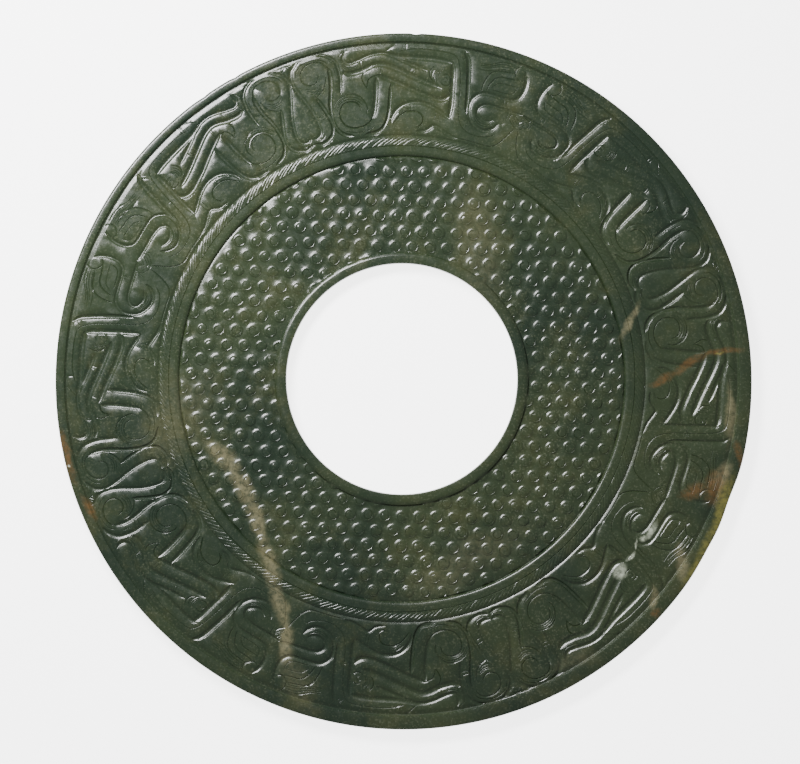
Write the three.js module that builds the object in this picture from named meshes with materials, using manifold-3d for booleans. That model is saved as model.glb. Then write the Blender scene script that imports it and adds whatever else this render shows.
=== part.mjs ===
// Jade bi disc: one flat carved ring of nephrite, lying on its back with the carved face up.
// Millimetres, +Z up. The origin is the middle of the outer outline, on the surface the disc lies on.
// From the hole outwards: inner rim, field of grain bosses, plain ring, rope ring, knotwork band, outer rim.
import * as THREE from 'three';
import { mergeVertices } from 'three/addons/utils/BufferGeometryUtils.js';
import Module from 'manifold-3d';

const wasm = await Module();
wasm.setup();

// Driving sizes
const OUTER_RADIUS = 115;
const HOLE_RADIUS = 38.1;
const THICKNESS = 5.5;
const CARVING_CENTRE = [-0.6, 0.8]; // the hole and every ring share this centre, a little off the outline's
const LATHE_SIDES = 44;

// Ring borders, measured from the carving's centre
const GRAIN_INNER = 41.5;
const GRAIN_OUTER = 73.5;
const PLAIN_INNER = 74.3;
const ROPE_INNER = 77.1;
const ROPE_OUTER = 79.5;
const BAND_INNER = 80.6;
const BAND_OUTER = 110.6;

// Heights of the front, and the shallow recess of the plainer back
const EDGE_ROUND = 0.6;
const RING_TOP = THICKNESS - 0.25;
const BAND_FLOOR = THICKNESS - 0.45;
const BORDER_GROOVE = THICKNESS - 0.8;
const GRAIN_FLOOR = THICKNESS - 1.05;
const GRAIN_VALLEY = GRAIN_FLOOR + 0.05;
const GRAIN_TOP = THICKNESS - 0.2;
const BACK_RECESS = 0.4;
const WALL_SLOPE = 0.3; // how far a ring's side wall leans
const GROOVE_HALF = 0.35; // half width of the V between the plain ring and the rope ring
const BAND_SHOULDER = 1.0; // how far the band's two edges slope down to their border grooves

// Grain field: six-sided knobs on a triangular lattice
const GRAIN_PITCH = 5.716;
const GRAIN_TURN = THREE.MathUtils.degToRad(-2.2);
const GRAIN_START = new THREE.Vector2(1.1, 5.25);
const GRAIN_MARGIN = 3.4; // from the middle of a whole knob to the field's borders

// Knotwork band: four mask units, each of two mirrored halves of an eighth turn
const UNIT_COUNT = 4;
const FIRST_MASK_ANGLE = THREE.MathUtils.degToRad(65.5);
const MID_RADIUS = 95.85;
const WORK_ABOVE = 1; // how far the ring cutters reach past the surface that they cut

function solidFrom(geometry) {
  geometry.deleteAttribute('normal');
  geometry.deleteAttribute('uv');
  const merged = mergeVertices(geometry, 1e-4);
  return new wasm.Manifold(new wasm.Mesh({
    numProp: 3,
    vertProperties: new Float32Array(merged.attributes.position.array),
    triVerts: new Uint32Array(merged.index.array),
  }));
}

function lathe(profile, sides, centre = [0, 0]) {
  const points = profile.map(([radius, z]) => new THREE.Vector2(radius, z));
  points.push(points[0].clone());
  const geometry = new THREE.LatheGeometry(points, sides);
  geometry.rotateX(Math.PI / 2);
  geometry.translate(centre[0], centre[1], 0);
  return solidFrom(geometry);
}

// The blank: a round slab with softened edges
function makeBlank() {
  return lathe([
    [0, 0],
    [OUTER_RADIUS - EDGE_ROUND, 0],
    [OUTER_RADIUS, EDGE_ROUND],
    [OUTER_RADIUS, THICKNESS - EDGE_ROUND],
    [OUTER_RADIUS - EDGE_ROUND, THICKNESS],
    [0, THICKNESS],
  ], LATHE_SIDES);
}

// The round hole, wider at both mouths
function makeHole() {
  return lathe([
    [0, -WORK_ABOVE],
    [HOLE_RADIUS + EDGE_ROUND + WORK_ABOVE, -WORK_ABOVE],
    [HOLE_RADIUS, EDGE_ROUND],
    [HOLE_RADIUS, THICKNESS - EDGE_ROUND],
    [HOLE_RADIUS + EDGE_ROUND + WORK_ABOVE, THICKNESS + WORK_ABOVE],
    [0, THICKNESS + WORK_ABOVE],
  ], LATHE_SIDES, CARVING_CENTRE);
}

// What is ground away from the front between the two rims
function makeFrontRecess() {
  const top = THICKNESS + WORK_ABOVE;
  return lathe([
    [GRAIN_INNER - WALL_SLOPE - WORK_ABOVE / 4, top],
    [GRAIN_INNER, GRAIN_FLOOR],
    [GRAIN_OUTER, GRAIN_FLOOR],
    [PLAIN_INNER, RING_TOP],
    [ROPE_INNER - GROOVE_HALF, RING_TOP],
    [ROPE_INNER, BAND_FLOOR],
    [ROPE_INNER + GROOVE_HALF, RING_TOP],
    [ROPE_OUTER, RING_TOP],
    [BAND_INNER - WALL_SLOPE, BORDER_GROOVE],
    [BAND_INNER + BAND_SHOULDER / 2, BAND_FLOOR],
    [BAND_OUTER - BAND_SHOULDER, BAND_FLOOR],
    [BAND_OUTER, BORDER_GROOVE],
    [BAND_OUTER + 4 * WALL_SLOPE, top],
  ], LATHE_SIDES, CARVING_CENTRE);
}

// The back has plain rims and one shallow recess
function makeBackRecess() {
  return lathe([
    [GRAIN_INNER - WALL_SLOPE, -WORK_ABOVE],
    [BAND_OUTER + WALL_SLOPE, -WORK_ABOVE],
    [BAND_OUTER, BACK_RECESS],
    [GRAIN_INNER, BACK_RECESS],
  ], LATHE_SIDES, CARVING_CENTRE);
}

// Six-sided knobs that meet in valleys just above the grain floor
function makeGrains() {
  const coneBase = GRAIN_FLOOR - WORK_ABOVE / 4;
  const coneHeight = GRAIN_TOP - coneBase;
  const cornerDistance = GRAIN_PITCH / Math.sqrt(3);
  const coneRadius = cornerDistance * coneHeight / (GRAIN_TOP - GRAIN_VALLEY);
  const cone = new THREE.ConeGeometry(coneRadius, coneHeight, 6);
  cone.rotateX(Math.PI / 2);
  cone.rotateZ(GRAIN_TURN);
  cone.translate(0, 0, coneBase + coneHeight / 2);
  const knob = solidFrom(cone);
  const along = new THREE.Vector2(GRAIN_PITCH, 0).rotateAround(new THREE.Vector2(), GRAIN_TURN);
  const across = new THREE.Vector2(GRAIN_PITCH, 0).rotateAround(new THREE.Vector2(), GRAIN_TURN + Math.PI / 3);
  const steps = Math.ceil(2 * GRAIN_OUTER / GRAIN_PITCH);
  const knobs = [];
  for (let i = -steps; i <= steps; i += 1) {
    for (let j = -steps; j <= steps; j += 1) {
      const spot = GRAIN_START.clone().addScaledVector(along, i).addScaledVector(across, j);
      const radius = Math.hypot(spot.x - CARVING_CENTRE[0], spot.y - CARVING_CENTRE[1]);
      if (radius > GRAIN_INNER + GRAIN_MARGIN && radius < GRAIN_OUTER - GRAIN_MARGIN) {
        knobs.push(knob.translate([spot.x, spot.y, 0]));
      }
    }
  }
  return wasm.Manifold.union(knobs);
}

// Place in the band: s runs along the middle radius from the mask's axis, t outwards from its inner edge
function bandPoint(s, t, z) {
  const angle = -s / MID_RADIUS;
  const radius = BAND_INNER + t;
  return new THREE.Vector3(radius * Math.cos(angle), radius * Math.sin(angle), z);
}

// A V-shaped trough that follows a smooth curve through a few places in the band, its top level with the floor
function trough(places, width, depth, steps) {
  const curve = new THREE.CatmullRomCurve3(places.map(([s, t]) => bandPoint(s, t, BAND_FLOOR)));
  const section = new THREE.Shape();
  section.moveTo(depth, 0);
  section.lineTo(0, width / 2);
  section.lineTo(0, -width / 2);
  section.closePath();
  return solidFrom(new THREE.ExtrudeGeometry(section, { steps, extrudePath: curve, bevelEnabled: false }));
}

const TROUGH = { width: 2.0, depth: 0.55 };
const LINE = { width: 1.0, depth: 0.35 };

// Half of the mask and the dragon body that loops out of it
const HALF_UNIT = [
  // jaw, brow with its inner curl, then the outlines of ear and cheek
  { kind: LINE, steps: 3, places: [[0.8, 9.6], [2.6, 5.2], [6.0, 1.6]] },
  { kind: TROUGH, steps: 5, places: [[0.6, 14.8], [11.5, 14.3], [14.6, 12.3], [12.6, 9.2], [9.0, 9.8]] },
  { kind: LINE, steps: 8, places: [[4.0, 28.4], [2.4, 23.5], [4.4, 18.3], [14.0, 17.7], [17.2, 14.6],
    [17.0, 9.6], [13.0, 6.0], [7.0, 8.2]] },
  { kind: LINE, steps: 3, places: [[7.2, 26.6], [12.0, 25.9], [14.7, 23.0], [15.5, 18.9]] },
  // body bar beside the mask, turning outwards under the rim and ending in a tail
  { kind: TROUGH, steps: 2, places: [[19.1, 8.0], [20.1, 17], [22.2, 28.6]] },
  { kind: TROUGH, steps: 2, places: [[24.3, 7.5], [25.0, 16.5], [25.6, 23.2]] },
  { kind: TROUGH, steps: 6, places: [[26.4, 25.2], [36, 25.3], [43, 25.9], [48.5, 26.9], [55.4, 24.9], [58.2, 26.2],
    [57.8, 28.4]] },
  // the two slanting strands, with the paw between them and the bar
  { kind: TROUGH, steps: 5, places: [[28.8, 16.4], [34.5, 17.9], [43.5, 22.0], [48.3, 23.4], [52.7, 22.1], [58.2, 21.9]] },
  { kind: TROUGH, steps: 3, places: [[26.8, 13.4], [30, 12.5], [37, 14.5], [48.2, 19.6]] },
  { kind: LINE, steps: 3, places: [[29.1, 18.0], [29.4, 19.8], [28.0, 21.2], [26.9, 20.6]] },
  // bent limb at the inner edge
  { kind: TROUGH, steps: 4, places: [[26.2, 7.6], [33.2, 10.4], [39, 10.4], [43.0, 7.6]] },
  { kind: LINE, steps: 4, places: [[35.2, 2.9], [33.3, 4.8], [35.0, 7.4], [39.4, 7.3], [43.0, 4.8]] },
  { kind: TROUGH, steps: 2, places: [[20.5, 1.4], [28.5, 3.4], [31.5, 1.6]] },
  // neck that drops to the inner edge, rises again and loops under the rim
  { kind: TROUGH, steps: 3, places: [[44.6, 15.6], [45.6, 8.5], [47.4, 3.4], [51.5, 1.4]] },
  { kind: TROUGH, steps: 2, places: [[49.2, 17.6], [50.3, 11], [51.2, 7.0]] },
  { kind: LINE, steps: 7, places: [[52.8, 4.9], [56.0, 3.7], [60.5, 4.8], [62.4, 8.0], [60.6, 12.0], [56.5, 12.0],
    [55.2, 9.6]] },
  { kind: LINE, steps: 3, places: [[53.6, 7.9], [53.7, 11.8], [57.2, 14.6], [58.9, 14.9]] },
  { kind: TROUGH, steps: 3, places: [[60.8, 14.6], [59.9, 21], [61.0, 26.6], [64.6, 28.9]] },
  { kind: TROUGH, steps: 3, places: [[63.4, 2.6], [65.4, 8], [63.6, 19], [63.3, 23.4]] },
  { kind: LINE, steps: 6, places: [[64.8, 26.4], [67.2, 27.6], [71.0, 25.4], [71.0, 21.8], [68.4, 20.6], [66.9, 22.4]] },
  { kind: TROUGH, steps: 5, places: [[68.0, 29.1], [71.4, 28.0], [74.0, 24.5], [73.2, 17.5], [71.2, 10.5], [71.0, 5.8],
    [72.6, 4.2]] },
  { kind: TROUGH, steps: 3, places: [[68.9, 14.8], [67.6, 9.4], [67.8, 4.0], [73.4, 1.6]] },
];

// All troughs of the band: the half unit, its mirror image, and both turned to each mask
function makeKnotwork() {
  const half = wasm.Manifold.union(HALF_UNIT.map(({ kind, steps, places }) => (
    trough(places, kind.width, kind.depth, steps))));
  const unit = wasm.Manifold.union([half, half.mirror([0, 1, 0])]);
  const units = [];
  for (let i = 0; i < UNIT_COUNT; i += 1) {
    const degrees = THREE.MathUtils.radToDeg(FIRST_MASK_ANGLE) + 360 * i / UNIT_COUNT;
    units.push(unit.rotate([0, 0, degrees]));
  }
  return wasm.Manifold.union(units).translate([CARVING_CENTRE[0], CARVING_CENTRE[1], 0]);
}

// Flats that long wear has left on the outer edge: angle round the disc in degrees, and depth
const WORN_FLATS = [[331, 0.4], [340, 0.7]];

function makeWornFlats() {
  return wasm.Manifold.union(WORN_FLATS.map(([degrees, depth]) => {
    const box = new THREE.BoxGeometry(10, 60, 4 * THICKNESS);
    box.translate(OUTER_RADIUS - depth + 5, 0, 0);
    box.rotateZ(THREE.MathUtils.degToRad(degrees));
    return solidFrom(box);
  }));
}

function makeDisc() {
  const bare = makeBlank().subtract(makeHole()).subtract(makeFrontRecess()).subtract(makeBackRecess());
  return bare.add(makeGrains()).subtract(makeKnotwork()).subtract(makeWornFlats());
}

function meshFrom(solid, name, material) {
  const result = solid.getMesh();
  const geometry = new THREE.BufferGeometry();
  geometry.setAttribute('position', new THREE.BufferAttribute(result.vertProperties, 3));
  geometry.setIndex(new THREE.BufferAttribute(result.triVerts, 1));
  geometry.computeVertexNormals();
  const mesh = new THREE.Mesh(geometry, material);
  mesh.name = name;
  return mesh;
}

const jade = new THREE.MeshStandardMaterial({ color: 0x46513f, roughness: 0.32, metalness: 0 });

const group = new THREE.Group();
group.add(meshFrom(makeDisc(), 'bi_disc', jade));

export default group;
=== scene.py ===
"""A carved jade bi disc: one stone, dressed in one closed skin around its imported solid.

The skin is a stack of rings, from the hole outwards over the front, round the edge and back across the
underside. The carved rings are laid out flat, with rows of points along every tool mark, and triangulated.
Neighbouring rings share the points of their seams, so that the whole skin closes.
Sizes in the classes are in millimetres and angles in degrees, measured from +X towards +Y.
"""

import logging
import math
from dataclasses import dataclass, field
from enum import Enum
from typing import Callable, Sequence

import bmesh
import bpy
import numpy as np
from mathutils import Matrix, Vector
from mathutils.geometry import delaunay_2d_cdt
from mathutils.kdtree import KDTree

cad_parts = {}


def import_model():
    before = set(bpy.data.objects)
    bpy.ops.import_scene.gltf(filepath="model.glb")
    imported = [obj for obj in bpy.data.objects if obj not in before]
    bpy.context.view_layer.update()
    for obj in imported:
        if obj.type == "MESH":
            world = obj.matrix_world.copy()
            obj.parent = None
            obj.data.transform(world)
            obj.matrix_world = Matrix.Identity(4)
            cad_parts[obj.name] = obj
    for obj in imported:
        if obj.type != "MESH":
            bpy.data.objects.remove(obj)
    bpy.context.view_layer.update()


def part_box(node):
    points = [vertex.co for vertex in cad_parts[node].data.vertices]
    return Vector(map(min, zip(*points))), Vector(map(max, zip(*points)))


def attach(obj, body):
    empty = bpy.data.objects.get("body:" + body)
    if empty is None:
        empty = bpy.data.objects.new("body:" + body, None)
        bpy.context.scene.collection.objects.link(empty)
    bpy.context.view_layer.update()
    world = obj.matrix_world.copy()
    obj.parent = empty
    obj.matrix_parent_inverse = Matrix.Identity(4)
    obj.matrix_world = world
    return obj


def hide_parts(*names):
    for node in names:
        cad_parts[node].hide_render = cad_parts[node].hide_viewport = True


LOG = logging.getLogger("bi_disc")

Point = tuple[float, float]
Colour = tuple[float, float, float, float]

SEAM_POINTS = 360  # points that every seam between two rings has
CARVING_CENTRE = (-0.6, 0.8)  # where the rings and the hole are centred
MID_RADIUS = 95.85  # middle of the knotwork band, where lengths along it are measured
BAND_INNER = 80.6
MASK_ANGLES = (65.3, 156.0, 245.0, 335.8)  # the four axes of the mask units
HALF_LENGTH = math.radians(45) * MID_RADIUS
EDGE_WEAR = (  # middle and spread in degrees, and depth, of each worn dip in the outer edge
    (331, 4, 0.4), (340, 4, 0.7), (125.4, 0.5, 0.45), (118.8, 0.35, 0.35), (88.1, 0.4, 0.4),
)


def smoothstep(low: float, high: float, value: np.ndarray) -> np.ndarray:
    """Eases from 0 at low to 1 at high.

    Args:
        low: value at which the result is still 0.
        high: value at which the result has reached 1.
        value: numbers to ease.

    Returns:
        The eased numbers.
    """
    share = np.clip((value - low) / (high - low), 0, 1)
    return share * share * (3 - 2 * share)


def smooth_path(points: Sequence[Point], step: float) -> np.ndarray:
    """Runs a smooth curve through points and walks along it.

    Args:
        points: places that the curve passes through.
        step: rough distance between the returned places.

    Returns:
        Places on the curve, one row each.
    """
    given = np.array(points, float)
    if len(given) == 2:
        count = max(2, int(np.linalg.norm(given[1] - given[0]) / step) + 1)
        return given[0] + np.linspace(0, 1, count)[:, None] * (given[1] - given[0])
    ends = np.vstack([2 * given[0] - given[1], given, 2 * given[-1] - given[-2]])
    walked = []
    for before, start, end, after in zip(ends, ends[1:], ends[2:], ends[3:]):
        count = max(1, int(math.ceil(np.linalg.norm(end - start) / step)))
        share = (np.arange(count) / count)[:, None]
        walked.append(
            0.5 * (2 * start + (end - before) * share
                   + (2 * before - 5 * start + 4 * end - after) * share ** 2
                   + (3 * start - before - 3 * end + after) * share ** 3)
        )
    walked.append(given[-1:])
    return np.vstack(walked)


class Waves:
    """A smooth uneven field, as left by hand grinding: many plane waves in seeded directions."""

    def __init__(self, seed: int, shortest: float, longest: float, count: int = 24) -> None:
        """Draws the waves.

        Args:
            seed: seed of the random draw.
            shortest: shortest wavelength.
            longest: longest wavelength.
            count: how many waves are summed.
        """
        draw = np.random.default_rng(seed)
        turn = draw.uniform(0, 2 * math.pi, count)
        length = np.exp(draw.uniform(math.log(shortest), math.log(longest), count))
        self.number = 2 * math.pi / length
        self.along = np.stack([np.cos(turn), np.sin(turn)])
        self.phase = draw.uniform(0, 2 * math.pi, count)

    def at(self, x: np.ndarray, y: np.ndarray) -> np.ndarray:
        """Reads the field, which stays roughly between -1 and 1, at places x and y."""
        total = np.zeros_like(x)
        for number, across, up, phase in zip(self.number, *self.along, self.phase):
            total += np.sin(number * (x * across + y * up) + phase)
        return total / math.sqrt(2 * len(self.number))


class Cut(Enum):
    """The kinds of tool mark: width, depth, length of an open end's taper, and the section.

    A section lists distance from the middle, as a share of the half width, with the share of the depth there.
    """

    TROUGH = (2.4, 0.50, 2.5, ((0.0, 1.0), (0.4, 0.84), (0.78, 0.22), (1.0, 0.0)))
    CHANNEL = (1.8, 0.38, 2.2, ((0.0, 1.0), (0.4, 0.82), (0.78, 0.22), (1.0, 0.0)))
    GROOVE = (0.66, 0.23, 1.8, ((0.0, 1.0), (1.0, 0.0)))
    LINE = (0.44, 0.15, 1.2, ((0.0, 1.0), (1.0, 0.0)))
    HAIR = (0.36, 0.12, 1.0, ((0.0, 1.0), (1.0, 0.0)))

    @property
    def width(self) -> float:
        """Width at the surface."""
        return self.value[0]

    @property
    def depth(self) -> float:
        """Depth at the middle."""
        return self.value[1]

    @property
    def taper(self) -> float:
        """Length over which an open end narrows."""
        return self.value[2]

    @property
    def section(self) -> tuple[Point, ...]:
        """Shares of the half width and the depth, from the middle out."""
        return self.value[3]


@dataclass(frozen=True)
class Stroke:
    """One mark in the knotwork, drawn in a half unit: along the band from the mask's axis, then outwards."""

    cut: Cut
    path: tuple[Point, ...]
    width: float = 1.0  # share of the tool mark's own width


@dataclass
class Motif:
    """A named part of the half unit with the strokes that draw it."""

    name: str
    strokes: list[Stroke] = field(default_factory=list)

    def add(self, cut: Cut, *path: Point, width: float = 1.0) -> None:
        """Draws one more stroke through the given places."""
        self.strokes.append(Stroke(cut, tuple(path), width))

    def fan(self, cut: Cut, path: Sequence[Point], shift: Point, count: int) -> None:
        """Repeats a stroke side by side, as the carver combs hair.

        Args:
            cut: kind of mark.
            path: first stroke.
            shift: step from one stroke to the next.
            count: how many strokes.
        """
        for k in range(count):
            self.add(cut, *[(s + shift[0] * k, t + shift[1] * k) for s, t in path])

    def arcs(self, cut: Cut, centre: Point, radii: Sequence[float], start: float, end: float) -> None:
        """Draws arcs around one centre.

        Args:
            cut: kind of mark.
            centre: middle of the arcs.
            radii: one radius for each arc.
            start: angle at which the arcs start.
            end: angle at which they end.
        """
        for radius in radii:
            turns = [math.radians(start + (end - start) * k / 8) for k in range(9)]
            self.add(cut, *[(centre[0] + radius * math.cos(a), centre[1] + radius * math.sin(a))
                            for a in turns])

    def hatch(self, cut: Cut, corners: Sequence[Point], step: float, turn: float) -> None:
        """Fills a convex outline with straight parallel strokes.

        Args:
            cut: kind of mark.
            corners: outline of the field.
            step: distance between strokes.
            turn: direction of the strokes.
        """
        ring = np.array(corners, float)
        along = np.array([math.cos(math.radians(turn)), math.sin(math.radians(turn))])
        across = np.array([-along[1], along[0]])
        levels = ring @ across
        for level in np.arange(levels.min() + step / 2, levels.max(), step):
            hits = []
            for k, start in enumerate(ring):
                end = ring[(k + 1) % len(ring)]
                low, high = levels[k], levels[(k + 1) % len(ring)]
                if (low - level) * (high - level) < 0:
                    hits.append(start + (end - start) * (level - low) / (high - low))
            if len(hits) == 2:
                self.add(cut, tuple(hits[0]), tuple(hits[1]))


class MaskHalf(Motif):
    """Half of the beast mask: jaw, brow, cheek, ear, nose and the flames over its head."""

    def __init__(self) -> None:
        """Draws the half mask."""
        super().__init__("mask")
        self.add(Cut.GROOVE, (0.7, 9.8), (1.4, 7.9), (2.4, 5.4), (3.7, 3.2), (5.3, 1.7), (7.4, 1.0),
                 (12, 0.9), (19.5, 0.8))
        self.add(Cut.CHANNEL, (0.3, 15.0), (3, 14.6), (7, 14.4), (11.5, 14.2), (13.6, 13.6), (14.9, 12.2),
                 (14.9, 10.7), (13.8, 9.6), (11.8, 8.8), (9.8, 9.1), (8.6, 9.9), width=0.85)
        self.add(Cut.CHANNEL, (4.0, 28.6), (3.1, 26.8), (2.5, 24.5), (2.4, 22.3), (2.8, 20.2), (4.2, 18.5),
                 (6.5, 17.9), (10, 17.8), (14.0, 17.7), (16.0, 16.8), (17.8, 14.6), (18.1, 12.2),
                 (17.6, 9.6), (16.0, 7.5), (13.5, 6.1), (11.0, 5.7), (8.8, 6.4), (7.2, 7.8), (6.4, 9.5),
                 width=0.9)
        self.fan(Cut.HAIR, [(8.2, 8.9), (9.6, 8.0), (11.6, 7.7), (13.6, 8.2), (15.2, 9.6)], (0.1, -0.65), 3)
        self.add(Cut.GROOVE, (6.4, 29.9), (7.1, 28.4), (7.0, 26.8), (6.0, 25.6), (4.6, 25.1), (3.4, 26.0))
        self.add(Cut.GROOVE, (7.2, 26.6), (9.8, 26.3), (12.0, 25.9), (13.6, 25.0), (14.7, 23.2),
                 (15.3, 21.2), (15.6, 19.3), (15.6, 18.2))
        self.add(Cut.GROOVE, (5.2, 25.0), (8.0, 24.4), (10.4, 24.2), (11.9, 23.3), (12.9, 21.8),
                 (13.6, 20.1), (13.9, 18.6))
        self.add(Cut.LINE, (4.4, 23.0), (4.7, 21.3), (5.5, 20.0), (7.5, 19.4), (11.8, 19.2))
        self.add(Cut.LINE, (4.6, 22.7), (7.5, 22.4), (10.3, 22.0), (11.5, 20.9), (12.4, 19.7))
        self.add(Cut.HAIR, (8, 29.5), (11, 29.3), (13, 28.5), (15, 27.3), (18, 27))
        self.add(Cut.HAIR, (7.3, 28.7), (10, 28.6), (12, 28.1), (14, 27), (16, 26.5), (18, 26.3))
        self.add(Cut.HAIR, (7.3, 27.9), (10, 27.7), (12, 27.2), (14, 26.3), (17, 25.6))
        self.add(Cut.HAIR, (7.3, 27.1), (10, 26.9), (12, 26.4), (13.5, 25.5), (15, 25), (18.3, 24.9))
        self.add(Cut.LINE, (0, 10.1), (1.8, 10.8), (3.4, 12.4), (3.0, 14.2), (1.4, 15.0), (0, 15.2))
        self.hatch(Cut.HAIR, [(0, 10.6), (1.6, 11.2), (2.9, 12.6), (2.4, 14.2), (0, 14.8)], 0.8, 45)
        self.add(Cut.LINE, (4.4, 14.2), (4.1, 11.4))
        self.add(Cut.LINE, (5.0, 9.8), (5.1, 9.3))
        self.fan(Cut.LINE, [(6.0, 15.3), (6.0, 17.4)], (1.0, 0), 2)


class BarHalf(Motif):
    """The bent bar beside the mask, with its cross lines and the band that turns over it."""

    def __init__(self) -> None:
        """Draws the bar."""
        super().__init__("bar")
        self.add(Cut.LINE, (6.0, 6.2), (7.6, 4.6), (10, 3.6), (13, 3.2), (16, 3.5), (18.8, 4.8), (20.6, 7.0),
                 (21.6, 10), (22.2, 14), (22.7, 18), (23.4, 22), (24.2, 25.2), (25.6, 27.4), (28, 28.0),
                 (33, 28.2), (38, 28.1), (42, 27.2))
        self.add(Cut.TROUGH, (18.6, 9.5), (19.1, 12.5), (19.6, 16), (20.3, 20), (21.0, 24), (21.8, 27.4),
                 (23.2, 29.4), width=0.8)
        self.add(Cut.TROUGH, (26.1, 25.2), (25.6, 22), (25.3, 19), (25.0, 16), (24.6, 13), (24.4, 10.5),
                 (24.2, 7.3), width=0.9)
        self.add(Cut.TROUGH, (25.6, 24.7), (28, 25.2), (32, 25.3), (36, 25.3), (40, 25.4), (43, 25.9),
                 (46, 26.8))
        self.add(Cut.CHANNEL, (44, 26.3), (46, 26.8), (48.5, 26.9), (51, 26.4), (53.2, 25.6), (55.4, 24.9),
                 (57.2, 24.8), (58.3, 25.9), (58.4, 27.5), (57.7, 29.0), width=0.9)
        self.add(Cut.HAIR, (60, 26.5), (59.5, 28), (58, 29.3))
        self.add(Cut.HAIR, (21.3, 15.9), (24.3, 15.2))
        self.add(Cut.HAIR, (21.3, 14.9), (24.0, 14.9))
        self.add(Cut.HAIR, (22, 28.3), (23.3, 26.5))
        self.add(Cut.HAIR, (23, 28.8), (24.3, 27))
        self.add(Cut.HAIR, (16.3, 7.9), (17.4, 6.6))
        self.add(Cut.HAIR, (17.2, 8.2), (18.3, 7))
        self.fan(Cut.HAIR, [(40, 29.8), (40, 27.5)], (0.8, 0), 2)
        self.add(Cut.LINE, (42.8, 30), (44.2, 28.6), (45.6, 27.3))


class StrandHalf(Motif):
    """The two slanting strands of the knot, with the hook and the paw that hold them."""

    def __init__(self) -> None:
        """Draws the strands."""
        super().__init__("strands")
        self.add(Cut.CHANNEL, (33.4, 21.2), (36, 22.2), (38.5, 23.2), (41, 24.4), (43.5, 25.8))
        self.add(Cut.TROUGH, (28.6, 16.1), (31.5, 16.9), (34.5, 17.9), (37.5, 19.1), (40.5, 20.5),
                 (43.5, 22.0), (46, 23.1), (48.3, 23.5), (50.5, 23.0), (52.7, 22.1), (55, 21.6),
                 (57.3, 21.5), (59, 22.4), width=1.1)
        self.add(Cut.TROUGH, (25.0, 15.2), (26.5, 13.2), (28.5, 12.4), (31, 12.6), (34, 13.5), (37, 14.5),
                 (40, 15.9), (43, 17.3), (46, 18.7), (48.6, 19.9), width=0.95)
        self.add(Cut.HAIR, (27, 12.0), (29, 11.4), (31.5, 11.7), (35, 12.8))
        self.add(Cut.GROOVE, (50.5, 23.0), (52.2, 21.9), (53.3, 20.4), (53.5, 18.8), (52.9, 17.2),
                 (52.2, 15.9), width=0.8)
        self.add(Cut.GROOVE, (48, 19.7), (49.8, 19.6), (51.2, 18.9), (51.9, 17.6), (52.2, 16.0), width=0.8)
        self.arcs(Cut.GROOVE, (27.5, 19.2), (1.9,), 60, 330)
        self.arcs(Cut.LINE, (27.5, 19.2), (0.7,), 0, 300)
        self.add(Cut.GROOVE, (31.3, 23), (32.2, 21.5), (32.3, 19.8), (31.5, 18.5), (30, 17.5))
        self.fan(Cut.HAIR, [(29.3, 17.6), (29.8, 18.8), (29.9, 20.4), (29.1, 22.0)], (0.6, 0.1), 4)
        self.fan(Cut.HAIR, [(36.8, 21.9), (37.5, 20.0)], (0.8, 0.3), 2)
        self.fan(Cut.HAIR, [(52.6, 25.2), (52.7, 22.9)], (0.8, -0.1), 2)
        self.fan(Cut.HAIR, [(54.2, 23.9), (56.3, 23.4), (58.1, 23.9), (59, 25.3)], (0.15, -0.65), 3)
        self.fan(Cut.HAIR, [(46.3, 22.6), (46.8, 20.0)], (0.8, 0.3), 2)


class LimbHalf(Motif):
    """The limb that curls below the strands, with its claw."""

    def __init__(self) -> None:
        """Draws the limb."""
        super().__init__("limb")
        self.add(Cut.CHANNEL, (24.3, 6.7), (27.5, 8.2), (30.5, 9.6), (33.2, 10.5), (36, 10.8), (39, 10.4),
                 (41.3, 9.4), (43.2, 7.9), (44.6, 6.0), (45.2, 4.0))
        self.add(Cut.GROOVE, (35.6, 2.6), (34.0, 3.4), (33.3, 4.8), (33.6, 6.3), (34.8, 7.4), (37, 7.8),
                 (39.4, 7.5), (41.3, 6.5), (42.9, 5.0), (44.3, 3.4))
        self.add(Cut.LINE, (33, 3.7), (35.2, 2.2))
        self.add(Cut.CHANNEL, (19.5, 0.9), (23, 1.4), (26, 2.6), (28.5, 3.7), (30, 3.3), (31.2, 2.2),
                 (33, 1.5), (35.5, 1.3), width=0.9)
        self.add(Cut.HAIR, (28, 7.6), (28, 4.5))
        self.add(Cut.HAIR, (29, 8.3), (29.3, 4.8))
        self.fan(Cut.HAIR, [(37.2, 10.2), (37.3, 7.9)], (0.75, 0), 2)
        self.fan(Cut.HAIR, [(38.4, 9.6), (40.5, 8.8), (42.5, 7.2)], (-0.2, -0.65), 3)


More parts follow.
